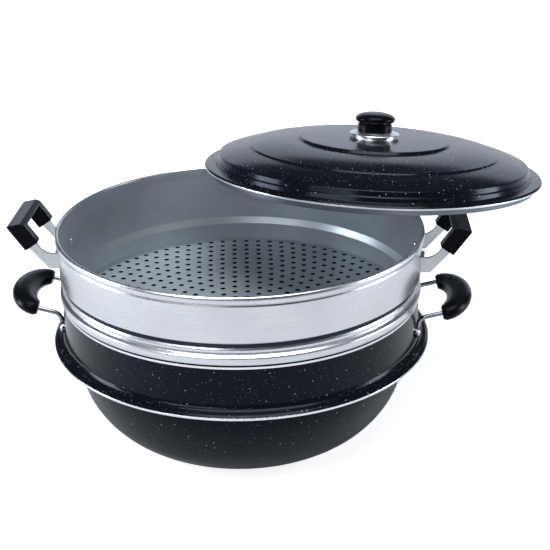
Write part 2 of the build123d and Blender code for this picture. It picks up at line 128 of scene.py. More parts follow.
# Turns an outline in mm about the vertical axis, as on a lathe, and puts it in its place
def turnOutline(name, outline, steps, place=Matrix()):
    startMesh()
    bpy.ops.mesh.primitive_plane_add(size=mm)
    piece = bpy.context.object
    piece.name = piece.data.name = name
    bpy.ops.object.mode_set(mode="EDIT")
    bpy.ops.mesh.select_all(action="SELECT")
    bpy.ops.mesh.merge(type="CENTER")
    spot = Vector(outline[0])
    bpy.ops.transform.translate(value=(spot.x * mm, 0, spot.y * mm))
    for point in outline[1:]:
        step = Vector(point) - spot
        if step.length > lathe["leastStep"]:
            bpy.ops.mesh.extrude_region_move(TRANSFORM_OT_translate={"value": (step.x * mm, 0, step.y * mm)})
            spot = Vector(point)
    bpy.ops.mesh.select_all(action="SELECT")
    bpy.ops.mesh.spin(steps=steps, angle=2 * math.pi, center=(0, 0, 0), axis=(0, 0, 1))
    bpy.ops.mesh.select_all(action="SELECT")
    bpy.ops.mesh.remove_doubles(threshold=lathe["mergeReach"] * mm)
    bpy.ops.mesh.normals_make_consistent(inside=False)
    bpy.ops.object.mode_set(mode="OBJECT")
    piece.data.transform(place)
    bpy.ops.object.shade_smooth_by_angle(angle=math.radians(lathe["smoothDeg"]))
    return piece


# Gives another finish to the faces whose middle passes the test, in radius and height about an axis
def giveBand(piece, finish, test, place=Matrix()):
    piece.data.materials.append(finish)
    slot = len(piece.data.materials) - 1
    back = place.inverted()
    for face in piece.data.polygons:
        middle = back @ face.center / mm
        if test(math.hypot(middle.x, middle.y), middle.z):
            face.material_index = slot


# Where the lid is held, above and beside the tier, in mm and degrees
lidPlace = {
    "aside": (136.5, 136.4),
    "height": 234.0,
    "tilt": (-6.5, 2.4),
}
lidTurn = (Matrix.Rotation(math.radians(lidPlace["tilt"][0]), 4, "X")
           @ Matrix.Rotation(math.radians(lidPlace["tilt"][1]), 4, "Y"))
lidMatrix = Matrix.Translation(Vector((*lidPlace["aside"], lidPlace["height"])) * mm) @ lidTurn


# Coating of the pot and the lid: colours, tint of the gloss, roughness range, specks and sizes of its marks
coating = {
    "base": "#08090c",
    "cloud": "#0d1015",
    "gloss": "#838f9f",
    "roughness": (0.14, 0.2),
    "specks": (  # radius and spacing in mm, then colour
        (0.5, 2.2, "#23282c"),
        (0.55, 3.6, "#535a60"),
        (0.6, 7.0, "#a9afb4"),
    ),
    "cloudMm": 71.4,
    "smearMm": 28.6,
    "peelMm": 2.4,
}


# Sprayed and baked non-stick coating: a deep gloss black with scattered pale mineral specks
def speckledCoating():
    material, shader = newMaterial("speckledBakedCoating")
    coords = addNode(material, "ShaderNodeTexCoord").outputs["Object"]
    cloud = addNode(material, "ShaderNodeTexNoise", {}, {
        "Vector": coords, "Scale": 1000 / coating["cloudMm"], "Detail": 3.0})
    colour = addNode(material, "ShaderNodeMix", {"data_type": "RGBA"}, {
        0: cloud.outputs["Fac"], 6: linearColour(coating["base"]),
        7: linearColour(coating["cloud"])}).outputs[2]
    for radius, spacing, tint in coating["specks"]:
        cells = addNode(material, "ShaderNodeTexVoronoi", {}, {"Vector": coords, "Scale": 1000 / spacing})
        speck = addNode(material, "ShaderNodeMapRange", {"interpolation_type": "SMOOTHSTEP"}, {
            "Value": cells.outputs["Distance"], "From Min": 0.55 * radius / spacing,
            "From Max": radius / spacing, "To Min": 1.0, "To Max": 0.0}).outputs["Result"]
        colour = addNode(material, "ShaderNodeMix", {"data_type": "RGBA"}, {
            0: speck, 6: colour, 7: linearColour(tint)}).outputs[2]
    smear = addNode(material, "ShaderNodeTexNoise", {}, {
        "Vector": coords, "Scale": 1000 / coating["smearMm"], "Detail": 4.0})
    rough = addNode(material, "ShaderNodeMapRange", {}, {
        "Value": smear.outputs["Fac"], "From Min": 0.3, "From Max": 0.7,
        "To Min": coating["roughness"][0], "To Max": coating["roughness"][1]}).outputs["Result"]
    peel = addNode(material, "ShaderNodeTexNoise", {}, {
        "Vector": coords, "Scale": 1000 / coating["peelMm"], "Detail": 1.0})
    peelBump = addNode(material, "ShaderNodeBump", {}, {
        "Height": peel.outputs["Fac"], "Strength": 0.2, "Distance": 0.03 * mm})
    # The last and largest specks stand up a little from the orange peel
    bump = addNode(material, "ShaderNodeBump", {}, {
        "Height": speck, "Strength": 0.3, "Distance": 0.03 * mm, "Normal": peelBump.outputs["Normal"]})
    setInputs(material, shader, {
        "Base Color": colour, "Roughness": rough, "Normal": bump.outputs["Normal"], "IOR": 1.45,
        "Specular IOR Level": 0.4, "Specular Tint": linearColour(coating["gloss"])})
    return material


# Aluminium turned on a lathe: faint rings about the axis and broad stains that break up the highlights.
# Real tool marks are too fine to show, so the rings are drawn as coarse as the render needs
def turnedAluminium(name, tint, dull, roughness, ringMm, ringDepth, place=None, metallic=1.0):
    stainMm = 45.5
    material, shader = newMaterial(name)
    coords = addNode(material, "ShaderNodeTexCoord").outputs["Object"]
    if place is not None:
        onAxis = addNode(material, "ShaderNodeMapping", {"vector_type": "TEXTURE"}, {
            "Vector": coords, "Location": place.to_translation(), "Rotation": place.to_euler()})
        coords = onAxis.outputs["Vector"]
    apart = addNode(material, "ShaderNodeSeparateXYZ", {}, {"Vector": coords})
    flat = addNode(material, "ShaderNodeCombineXYZ", {}, {"X": apart.outputs["X"], "Y": apart.outputs["Y"]})
    radius = addNode(material, "ShaderNodeVectorMath", {"operation": "LENGTH"}, {0: flat.outputs["Vector"]})
    rings = addNode(material, "ShaderNodeCombineXYZ", {}, {
        "X": radius.outputs["Value"], "Z": apart.outputs["Z"]}).outputs["Vector"]
    lines = addNode(material, "ShaderNodeTexNoise", {}, {
        "Vector": rings, "Scale": 1000 / ringMm, "Detail": 1.0})
    stains = addNode(material, "ShaderNodeTexNoise", {}, {
        "Vector": coords, "Scale": 1000 / stainMm, "Detail": 5.0})
    both = addNode(material, "ShaderNodeMath", {"operation": "MULTIPLY_ADD"}, {
        0: lines.outputs["Fac"], 1: 0.5, 2: stains.outputs["Fac"]})
    share = addNode(material, "ShaderNodeMapRange", {}, {
        "Value": both.outputs["Value"], "From Min": 0.45, "From Max": 1.05}).outputs["Result"]
    colour = addNode(material, "ShaderNodeMix", {"data_type": "RGBA"}, {
        0: share, 6: linearColour(dull), 7: linearColour(tint)}).outputs[2]
    rough = addNode(material, "ShaderNodeMapRange", {}, {
        "Value": share, "To Min": roughness + 0.05, "To Max": roughness - 0.03}).outputs["Result"]
    bump = addNode(material, "ShaderNodeBump", {}, {
        "Height": lines.outputs["Fac"], "Strength": 0.15, "Distance": ringDepth * mm})
    setInputs(material, shader, {
        "Base Color": colour, "Roughness": rough, "Metallic": metallic, "Normal": bump.outputs["Normal"]})
    return material


# Punching of the steam plate, in mm: ring pitch and turn of its holes, their painted shade and rims, and
# sizes of its marks
punching = {
    "pitch": 13.0, "turnDeg": 94.2, "sectorDeg": 60, "holeRadius": 2.4, "shadeRing": 0.4, "shadeRingFade": 0.3,
    "rimWidth": 1.7, "mottleMm": 16.7, "grainMm": 1.43,
}


# Pressed and punched aluminium sheet, matt and faintly mottled: painted shade fills each hole's bore, a
# painted highlight rings it.
# Ring n holds 6 n holes, so along it they are 60 / n degrees apart
def punchedSheet():
    material, shader = newMaterial("punchedAluminiumSheet")
    coords = addNode(material, "ShaderNodeTexCoord").outputs["Object"]
    apart = addNode(material, "ShaderNodeSeparateXYZ", {}, {"Vector": coords})
    flat = addNode(material, "ShaderNodeCombineXYZ", {}, {"X": apart.outputs["X"], "Y": apart.outputs["Y"]})
    radius = addNode(material, "ShaderNodeVectorMath", {"operation": "LENGTH"}, {0: flat.outputs["Vector"]})
    ring = addNode(material, "ShaderNodeMath", {"operation": "DIVIDE"}, {
        0: radius.outputs["Value"], 1: punching["pitch"] * mm})
    whole = addNode(material, "ShaderNodeMath", {"operation": "ROUND"}, {0: ring.outputs["Value"]})
    ringNo = addNode(material, "ShaderNodeMath", {"operation": "MAXIMUM"}, {
        0: whole.outputs["Value"], 1: 1.0})
    angle = addNode(material, "ShaderNodeMath", {"operation": "ARCTAN2"}, {
        0: apart.outputs["Y"], 1: apart.outputs["X"]})
    fromStart = addNode(material, "ShaderNodeMath", {"operation": "SUBTRACT"}, {
        0: angle.outputs["Value"], 1: math.radians(punching["turnDeg"])})
    step = addNode(material, "ShaderNodeMath", {"operation": "DIVIDE"}, {
        0: math.radians(punching["sectorDeg"]), 1: ringNo.outputs["Value"]})
    local = addNode(material, "ShaderNodeMath", {"operation": "WRAP"}, {
        0: fromStart.outputs["Value"], 1: step.outputs["Value"], 2: 0.0})
    centred = addNode(material, "ShaderNodeMath", {"operation": "MULTIPLY_ADD"}, {
        0: step.outputs["Value"], 1: -0.5, 2: local.outputs["Value"]})
    along = addNode(material, "ShaderNodeMath", {"operation": "MULTIPLY"}, {
        0: centred.outputs["Value"], 1: radius.outputs["Value"]})
    ringMiddle = addNode(material, "ShaderNodeMath", {"operation": "MULTIPLY"}, {
        0: ringNo.outputs["Value"], 1: punching["pitch"] * mm})
    outward = addNode(material, "ShaderNodeMath", {"operation": "SUBTRACT"}, {
        0: radius.outputs["Value"], 1: ringMiddle.outputs["Value"]})
    offset = addNode(material, "ShaderNodeCombineXYZ", {}, {
        "X": along.outputs["Value"], "Y": outward.outputs["Value"]})
    away = addNode(material, "ShaderNodeVectorMath", {"operation": "LENGTH"}, {0: offset.outputs["Vector"]})
    # The raised rim round each hole: a bump, and the mask of its painted highlight
    rim = addNode(material, "ShaderNodeMapRange", {"interpolation_type": "SMOOTHSTEP"}, {
        "Value": away.outputs["Value"], "From Min": punching["holeRadius"] * mm,
        "From Max": (punching["holeRadius"] + punching["rimWidth"]) * mm, "To Min": 1.0, "To Max": 0.0})
    mottle = addNode(material, "ShaderNodeTexNoise", {}, {
        "Vector": coords, "Scale": 1000 / punching["mottleMm"], "Detail": 5.0})
    sheet = addNode(material, "ShaderNodeMix", {"data_type": "RGBA"}, {
        0: mottle.outputs["Fac"], 6: linearColour("#87939b"), 7: linearColour("#9ca6ad")})
    # Painted highlight: the rim round each hole is drawn pale
    sheetWithPaintedHighlight = addNode(material, "ShaderNodeMix", {"data_type": "RGBA"}, {
        0: rim.outputs["Result"], 6: sheet.outputs[2], 7: linearColour("#bcc5cb")})
    # Painted shade: the bore and a thin ring round it are drawn near black
    paintedShade = addNode(material, "ShaderNodeMapRange", {}, {
        "Value": away.outputs["Value"], "From Min": (punching["holeRadius"] + punching["shadeRing"]) * mm,
        "From Max": (punching["holeRadius"] + punching["shadeRing"] + punching["shadeRingFade"]) * mm,
        "To Min": 1.0, "To Max": 0.0})
    colour = addNode(material, "ShaderNodeMix", {"data_type": "RGBA"}, {
        0: paintedShade.outputs["Result"], 6: sheetWithPaintedHighlight.outputs[2], 7: linearColour("#07090b")})
    grain = addNode(material, "ShaderNodeTexNoise", {}, {
        "Vector": coords, "Scale": 1000 / punching["grainMm"], "Detail": 2.0})
    grainBump = addNode(material, "ShaderNodeBump", {}, {
        "Height": grain.outputs["Fac"], "Strength": 0.3, "Distance": 0.05 * mm})
    bump = addNode(material, "ShaderNodeBump", {"invert": True}, {
        "Height": rim.outputs["Result"], "Strength": 0.8, "Distance": 0.5 * mm,
        "Normal": grainBump.outputs["Normal"]})
    rough = addNode(material, "ShaderNodeMapRange", {}, {
        "Value": mottle.outputs["Fac"], "To Min": 0.42, "To Max": 0.56})
    setInputs(material, shader, {
        "Base Color": colour.outputs[2], "Roughness": rough.outputs["Result"], "Metallic": 0.4,
        "Normal": bump.outputs["Normal"]})
    return material


# Resin of the grips and the knob: colours, tint of the gloss, roughness range and sizes of its marks in mm
phenolic = {
    "dark": "#050608", "light": "#0b0d11", "gloss": "#62626a", "roughness": (0.22, 0.3),
    "flowMm": 11.1, "grainMm": 0.91,
}


# Compression-moulded phenolic resin: hard black gloss with a faint flow mottle and a fine grain
def mouldedPhenolic():
    material, shader = newMaterial("mouldedPhenolic")
    coords = addNode(material, "ShaderNodeTexCoord").outputs["Object"]
    flow = addNode(material, "ShaderNodeTexNoise", {}, {
        "Vector": coords, "Scale": 1000 / phenolic["flowMm"], "Detail": 4.0})
    colour = addNode(material, "ShaderNodeMix", {"data_type": "RGBA"}, {
        0: flow.outputs["Fac"], 6: linearColour(phenolic["dark"]), 7: linearColour(phenolic["light"])})
    rough = addNode(material, "ShaderNodeMapRange", {}, {
        "Value": flow.outputs["Fac"], "From Min": 0.3, "From Max": 0.7,
        "To Min": phenolic["roughness"][0], "To Max": phenolic["roughness"][1]})
    grain = addNode(material, "ShaderNodeTexNoise", {}, {
        "Vector": coords, "Scale": 1000 / phenolic["grainMm"], "Detail": 1.0})
    bump = addNode(material, "ShaderNodeBump", {}, {
        "Height": grain.outputs["Fac"], "Strength": 0.15, "Distance": 0.02 * mm})
    setInputs(material, shader, {
        "Base Color": colour.outputs[2], "Roughness": rough.outputs["Result"],
        "Normal": bump.outputs["Normal"], "IOR": 1.5, "Specular IOR Level": 0.3,
        "Specular Tint": linearColour(phenolic["gloss"])})
    return material


# Chrome over steel: a mirror with a trace of smear, so that it isn't perfect
def chromedSteel(name, dark, light, roughness):
    smearMm = 7.7
    material, shader = newMaterial(name)
    coords = addNode(material, "ShaderNodeTexCoord").outputs["Object"]
    smear = addNode(material, "ShaderNodeTexNoise", {}, {
        "Vector": coords, "Scale": 1000 / smearMm, "Detail": 4.0})
    colour = addNode(material, "ShaderNodeMix", {"data_type": "RGBA"}, {
        0: smear.outputs["Fac"], 6: linearColour(dark), 7: linearColour(light)})
    rough = addNode(material, "ShaderNodeMapRange", {}, {
        "Value": smear.outputs["Fac"], "From Min": 0.35, "From Max": 0.7,
        "To Min": roughness - 0.04, "To Max": roughness + 0.05})
    setInputs(material, shader, {
        "Base Color": colour.outputs[2], "Roughness": rough.outputs["Result"], "Metallic": 1.0})
    return material


# Small plain parts: rivets, screw, insert and washer, each with a fine mottle in colour and gloss
def plainFinish(name, dark, light, roughness, metallic):
    mottleMm = 2.5
    material, shader = newMaterial(name)
    coords = addNode(material, "ShaderNodeTexCoord").outputs["Object"]
    mottle = addNode(material, "ShaderNodeTexNoise", {}, {
        "Vector": coords, "Scale": 1000 / mottleMm, "Detail": 3.0})
    colour = addNode(material, "ShaderNodeMix", {"data_type": "RGBA"}, {
        0: mottle.outputs["Fac"], 6: linearColour(dark), 7: linearColour(light)})
    rough = addNode(material, "ShaderNodeMapRange", {}, {
        "Value": mottle.outputs["Fac"], "To Min": roughness - 0.08, "To Max": roughness + 0.08})
    bump = addNode(material, "ShaderNodeBump", {}, {
        "Height": mottle.outputs["Fac"], "Strength": 0.3, "Distance": 0.05 * mm})
    setInputs(material, shader, {
        "Base Color": colour.outputs[2], "Roughness": rough.outputs["Result"], "Metallic": metallic,
        "Normal": bump.outputs["Normal"]})
    return material


coatingFinish = speckledCoating()
# Turned finishes take a bright and a dull tint, the roughness, and the rings' width and depth in mm.
# The pot's rim and flange edge, cut bare after coating: thin bright lines
machinedFinish = turnedAluminium("machinedBareEdge", "#f4f5f6", "#d9dbde", 0.24, 0.8, 0.02)
# The lid's edge, cut bare too, with its rings about the lid's own axis
lidEdgeFinish = turnedAluminium("machinedLidEdge", "#f0f1f3", "#cfd2d6", 0.26, 0.8, 0.02, lidMatrix)
# The lid's spun inside: a half dull grey
lidInside = turnedAluminium("spunLidInside", "#7f858c", "#686e75", 0.34, 2.0, 0.03, lidMatrix)
# The tier's satin outside: pale, with broad soft highlights
tierOutside = turnedAluminium("satinTurnedAluminium", "#dcdddf", "#d0d1d5", 0.27, 3.0, 0.012)
# The tier's spun inside: duller, with less of a mirror
tierInside = turnedAluminium("dullSpunAluminium", "#c3c9ce", "#adb4ba", 0.36, 2.2, 0.02, metallic=0.7)
# The tier's groove: a dark line of painted shade
grooveShadeFinish = turnedAluminium("paintedShadeGroove", "#343944", "#262a33", 0.4, 1.0, 0.02)
# The straps, blanked from sheet: plain grey metal
strapFinish = turnedAluminium("blankedAluminiumStrap", "#c8cacb", "#b4b6b8", 0.34, 1.0, 0.02)
plateFinish = punchedSheet()
gripFinish = mouldedPhenolic()
# Chrome and plain finishes take a dark and a light tint and the roughness: the drawn wire is a dark mirror,
# the pressed dish a bright soft one
wireFinish = chromedSteel("chromedWire", "#70747a", "#9a9ea3", 0.09)
dishFinish = chromedSteel("chromedPressing", "#d6d9dc", "#f0f2f4", 0.3)
rivetFinish = plainFinish("setAluminiumRivet", "#b3b7bc", "#d2d5d8", 0.3, 1.0)
print("materials made")


# Pot body: turned outline in mm, coated all over, its flange edge and a band under its rim machined bare;
# the coated strip above that band is painted shadow
pot = {
    "height": 155.5, "rimRadius": 181.7, "wall": 3.0, "bowlRadius": 170.0, "corner": 90.0,
    "flangeRadius": 192.9, "flangeHeight": 105.0, "flangeThick": 4.5, "flare": 7.0,
    "bareRim": (1.9, 4.0), "bareFlange": 2.4, "steps": 288,
}


def makePot():
    base = pot["bowlRadius"] - pot["corner"]
    top = pot["flangeHeight"] + pot["flangeThick"]
    mouth = pot["rimRadius"] - pot["wall"]
    bowlIn = pot["bowlRadius"] - pot["wall"]
    outer = [(0, 0)] + arcPoints((base, pot["corner"]), pot["corner"], -90, 0, 30)
    outer += roundCorners([
        (pot["bowlRadius"], pot["flangeHeight"] - 4),
        (pot["bowlRadius"], pot["flangeHeight"], 1.2),
        (pot["flangeRadius"], pot["flangeHeight"], 0.7),
        (pot["flangeRadius"], pot["flangeHeight"] + pot["bareFlange"], 0.3),
        (pot["flangeRadius"] - 2.6, top, 0.9),
        (pot["rimRadius"] + pot["flare"], top),
    ])
    outer += arcPoints((pot["rimRadius"] + pot["flare"], top + pot["flare"]), pot["flare"], 270, 180, 10)
    outer += roundCorners([
        (pot["rimRadius"], pot["height"] - pot["bareRim"][1]),
        (pot["rimRadius"], pot["height"] - pot["bareRim"][0]),
        (pot["rimRadius"], pot["height"], 0.8),
        (mouth, pot["height"], 0.8),
        (mouth, top + pot["wall"], 3),
        (bowlIn, pot["flangeHeight"] + pot["wall"], 3),
        (bowlIn, pot["corner"]),
    ])
    outer += arcPoints((base, pot["corner"]), pot["corner"] - pot["wall"], 0, -90, 24) + [(0, pot["wall"])]
    piece = turnOutline("pot_shell", outer, pot["steps"])
    dress(coatingFinish, "pot_shell")
    # The bare band starts 1.9 mm below the rim, so the coating above it draws the gap under the tier as a
    # black line: painted shadow
    giveBand(piece, machinedFinish, lambda r, z: (
        r > mouth + 1 and pot["bareRim"][0] < pot["height"] - z < pot["bareRim"][1]))
    giveBand(piece, machinedFinish, lambda r, z: (
        r > pot["flangeRadius"] - 0.5 and z < pot["flangeHeight"] + pot["bareFlange"] + 0.1))
    return piece


potShell = makePot()
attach(potShell, "pot")
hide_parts("pot_body")
print("pot turned")


# Steamer tier: thick rim band, plain wall, groove darkened with painted shade, two rolled beads, seat, skirt
# and inner lip
tier = {
    "top": 223.0, "seat": 155.8, "rimRadius": 185.0, "mouth": 181.0, "wallRadius": 182.6,
    "band": 11.0, "roll": 7.8, "grooveLow": 171.4, "grooveHigh": 175.8, "grooveRadius": 180.2,
    "skirtRadius": 176.8, "skirtBore": 174.8, "skirtBottom": 131.8, "lip": 3.2, "lipThick": 2.0,
    "footBore": 178.4, "shoulder": 162.8, "beads": 9.5, "curl": 1.6, "undercut": 0.7,
    "rollFullness": 0.9, "rollSteps": 20, "steps": 288,
}


def makeTier():
    bandLow = tier["top"] - tier["band"]
    rollLow = tier["top"] - tier["roll"]
    beadRoot = tier["seat"] + tier["beads"]
    outer = [(tier["mouth"], bandLow + 2)]
    outer += arcPoints((tier["mouth"] + tier["curl"], tier["top"] - tier["curl"]), tier["curl"], 180, 90, 8)
    for i in range(tier["rollSteps"] + 1):
        turn = math.radians(90 - 180 * i / tier["rollSteps"])
        out = (tier["rimRadius"] - tier["wallRadius"]) * max(0.0, math.cos(turn)) ** tier["rollFullness"]
        outer.append((tier["wallRadius"] + out, tier["top"] - tier["roll"] * (1 - math.sin(turn)) / 2))
    outer += roundCorners([
        (tier["wallRadius"], rollLow),
        (tier["wallRadius"] - tier["undercut"], rollLow - 0.7, 0.3),
        (tier["wallRadius"], rollLow - 2.2, 0.8),
        (tier["wallRadius"], tier["grooveHigh"] + 2, 0.8),
        (tier["grooveRadius"], tier["grooveHigh"] + 0.8, 0.6),
        (tier["grooveRadius"], tier["grooveLow"] + 0.8, 0.6),
        (tier["grooveRadius"] + 1.1, tier["grooveLow"] - 1.2, 1.8),
        (tier["grooveRadius"] + 1.1, beadRoot + 2.8, 2.4),
        (tier["grooveRadius"] - 0.3, beadRoot, 0.5),
        (tier["wallRadius"] + 0.6, beadRoot - 2.4, 2.4),
        (tier["wallRadius"] + 0.9, tier["seat"] + 2.2, 2.4),
        (tier["wallRadius"] + 0.2, tier["seat"], 0.7),
        (tier["skirtRadius"], tier["seat"], 0.5),
        (tier["skirtRadius"], tier["skirtBottom"], 0.5),
        (tier["skirtBore"] - tier["lip"], tier["skirtBottom"], 0.5),
        (tier["skirtBore"] - tier["lip"], tier["skirtBottom"] + tier["lipThick"], 0.5),
        (tier["skirtBore"], tier["skirtBottom"] + tier["lipThick"], 0.5),
        (tier["skirtBore"], tier["seat"], 1.5),
        (tier["footBore"], tier["shoulder"], 2.5),
        (tier["mouth"], bandLow, 2.0),
        (tier["mouth"], bandLow + 2),
    ], 6)
    piece = turnOutline("tier_shell", outer, tier["steps"])
    dress(tierOutside, "tier_shell")
    # Painted shade: the groove's faces take the dark finish
    giveBand(piece, grooveShadeFinish, lambda r, z: (
        tier["grooveRadius"] - 0.3 < r < tier["grooveRadius"] + 1.4
        and tier["grooveLow"] + 0.4 < z < tier["grooveHigh"] + 0.4))
    widening = (tier["mouth"] - tier["footBore"]) / (bandLow - tier["shoulder"])
    giveBand(piece, tierInside, lambda r, z: (
        z < tier["top"] - 0.3 and (z > tier["seat"] or r < tier["skirtBore"] + 1.2)
        and r < min(tier["mouth"] + 0.1, tier["footBore"] + 0.2 + widening * (z - tier["shoulder"]))))
    return piece


tierShell = makeTier()
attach(tierShell, "tier")
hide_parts("steamer_tier")
print("tier turned")


# Lid: centre disc, two domed zones with small steps, riser, flange, bare edge and skirt
lid = {
    "wall": 2.6, "radius": 184.0, "edge": 3.6, "flangeInner": 172.8, "flangeRise": 4.2,
    "step": 168.6, "stepHeight": 14.6, "ledge": 8.6, "slope": 1.5,
    "ring": 135.2, "ringHeight": 26.0, "ringStep": 1.6,
    "disc": 81.0, "discHeight": 36.4, "discStep": 2.6, "crown": 1.0, "bareEdge": 1.8,
    "skirtRadius": 177.8, "skirtDepth": 6.5, "edgeFrom": 174.0, "domeInside": 167.5, "steps": 288,
}


def makeLid():
    discFoot = lid["discHeight"] - lid["discStep"]
    ringFoot = lid["ringHeight"] - lid["ringStep"]
    discBrink = (lid["disc"] - 1, lid["discHeight"])
    discSide = (lid["disc"] + 5.5, discFoot - 0.3)
    ringBrink = (lid["ring"] - 1.4, lid["ringHeight"] + 0.3)
    ringSide = (lid["ring"] + 3.6, ringFoot - 0.6)
    stepBrink = (lid["step"] - 1.4, lid["stepHeight"] + 0.7)
    skirtBore = lid["skirtRadius"] - lid["wall"]
    underFlange = lid["flangeRise"] - lid["wall"]
    outline = bulgedPoints((0, lid["discHeight"] + lid["crown"]), discBrink, 0.3, 8)
    outline += roundCorners([
        discBrink,
        (lid["disc"] + 0.6, lid["discHeight"] - 0.1, 1.2),
        (lid["disc"] + 2.8, discFoot - 0.1, 1.2),
        discSide,
    ])
    outline += bulgedPoints(discSide, ringBrink, 1.3, 12)
    outline += roundCorners([
        ringBrink,
        (lid["ring"] + 0.4, lid["ringHeight"] - 0.1, 1.6),
        (lid["ring"] + 1.8, ringFoot - 0.1, 1.0),
        ringSide,
    ])
    outline += bulgedPoints(ringSide, stepBrink, 0.7, 8)
    outline += roundCorners([
        stepBrink,
        (lid["step"] - 0.1, lid["stepHeight"] - 0.1, 2.0),
        (lid["step"] + lid["slope"] - 0.4, lid["ledge"] + 1.0, 0.6),
        (lid["flangeInner"] - lid["slope"], lid["ledge"], 1.6),
        (lid["flangeInner"] - 0.2, lid["flangeRise"] - 0.1, 0.8),
        (lid["radius"] - 1.6, lid["edge"] + 0.1, 0.8),
        (lid["radius"], lid["bareEdge"], 0.4),
        (lid["radius"], 0, 0.4),
        (lid["skirtRadius"], 0, 0.5),
        (lid["skirtRadius"], -lid["skirtDepth"], 0.5),
        (skirtBore, -lid["skirtDepth"], 0.5),
        (skirtBore, underFlange, 1.0),
        (lid["flangeInner"] - lid["wall"], underFlange, 1.0),
        (lid["step"] - lid["slope"], lid["stepHeight"] - lid["slope"] - lid["wall"], 3.0),
        (lid["ring"], ringFoot - lid["wall"]),
    ])
    outline += bulgedPoints(
        (lid["ring"], ringFoot - lid["wall"]), (lid["disc"], discFoot - lid["wall"]), 1.3, 10)
    outline += [(lid["disc"] - 4, lid["discHeight"] - lid["wall"]), (0, lid["discHeight"] - lid["wall"])]
    piece = turnOutline("lid_cover", outline, lid["steps"], lidMatrix)
    dress(coatingFinish, "lid_cover")
    giveBand(piece, lidEdgeFinish, lambda r, z: (
        r > lid["edgeFrom"] and z < lid["bareEdge"] + 0.05), lidMatrix)
    giveBand(piece, lidInside, lambda r, z: (
        (r < skirtBore + 0.1 and z < underFlange + 0.05)
        or (r < lid["domeInside"] and z < lidUnder(r)) or z < -0.1), lidMatrix)
    return piece


# Height halfway through the lid's wall, to tell its inside from its outside
def lidUnder(radius):
    knots = [
        (0, lid["discHeight"] - lid["wall"] / 2),
        (lid["disc"] - 2, lid["discHeight"] - 1.6),
        (lid["disc"] + 5, 32.6),
        (lid["ring"], 24.2),
        (lid["step"] - 1, 12.0),
        (lid["flangeInner"] - 1.5, 4.5),
    ]
    for (r0, z0), (r1, z1) in zip(knots, knots[1:]):
        if radius <= r1:
            return z0 + (z1 - z0) * (radius - r0) / (r1 - r0)
    return knots[-1][1]


lidCover = makeLid()
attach(lidCover, "lid")
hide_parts("lid_shell")
print("lid turned")


# Knob, in mm, heights above the lid's edge
knob = {
    "base": 43.5, "neck": 18.6, "neckHigh": 10.5, "cap": 21.6, "capHigh": 10.2, "capBelly": 3.6,
    "capFromDeg": -12, "capFullness": 0.85, "capSteps": 24, "steps": 96,
}


def makeKnob():
    shoulder = knob["base"] + knob["neckHigh"]
    top = shoulder + knob["capHigh"]
    outline = [(0, knob["base"])] + roundCorners([
        (knob["neck"], knob["base"]),
        (knob["neck"], shoulder - 3.0, 0.6),
        (knob["neck"] - 0.9, shoulder - 1.6, 0.6),
        (knob["neck"] - 0.4, shoulder, 0.3),
        (knob["cap"] - 1.4, shoulder + 0.5, 1.0),
        (knob["cap"] - 0.2, shoulder + 1.9),
    ], 6)
    middle = shoulder + knob["capBelly"]
    for i in range(knob["capSteps"] + 1):
        turn = math.radians(knob["capFromDeg"] + (90 - knob["capFromDeg"]) * i / knob["capSteps"])
        radius = knob["cap"] * max(0.0, math.cos(turn)) ** knob["capFullness"]
        outline.append((radius, middle + (top - middle) * math.sin(turn)))
    return turnOutline("knob_grip", outline, knob["steps"], lidMatrix)


# Chromed dish that the knob stands in, in mm, heights above the lid's edge
dish = {
    "base": 37.4, "foot": 24.8, "step": 26.2, "radius": 27.5, "top": 43.9,
    "neckPlay": 0.05, "screwHole": 4.0, "steps": 96,
}


def makeDish():
    paintedShade = knob["neck"] + dish["neckPlay"]
    seat = knob["base"] - 0.1
    outline = [(dish["screwHole"], dish["base"])] + roundCorners([
        (dish["foot"], dish["base"]),
        (dish["foot"] - 0.2, dish["base"] + 1.2, 0.8),
        (dish["foot"] - 1.0, dish["base"] + 1.7, 0.5),
        (dish["step"], dish["base"] + 2.0, 0.5),
        (dish["step"] - 0.3, dish["base"] + 2.9, 0.6),
        (dish["radius"] - 0.8, dish["base"] + 3.1, 0.7),
        (dish["radius"], dish["base"] + 3.8, 0.6),
        (dish["radius"] - 1.0, dish["base"] + 4.6, 0.8),
        (paintedShade + 3.6, dish["base"] + 5.4, 1.2),
        (paintedShade + 1.4, dish["top"], 0.9),
        (paintedShade, dish["top"], 0.3),
        (paintedShade, seat),
        (dish["screwHole"], seat),
        (dish["screwHole"], dish["base"]),
    ], 6)
    return turnOutline("knob_dish", outline, dish["steps"], lidMatrix)


for piece, node, finish, slotName in (
    (makeKnob(), "lid_knob", gripFinish, "black_phenolic"),
    (makeDish(), "knob_ferrule", dishFinish, "chrome"),
):
    dress(finish, piece.name)
    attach(piece, "lid")
    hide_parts(node)
print("knob turned")


# Crescent grips of the pot's wire handles, in mm, drawn flat and then tilted up along the wires
crescent = {
    "start": 21.5, "depth": 20.5, "spread": 39.0, "width": 26.0, "thick": 18.0,
    "endWidth": 14.0, "endThick": 12.5, "fullness": 0.34, "sides": 32, "stations": 28,
    "wallRadius": 181.7, "legRadius": 184.3, "bend": 137.5, "rise": 11.0,
    "edge": 1.4, "edgeSteps": 3, "edgeDeg": 40, "smoothDeg": 50,
}


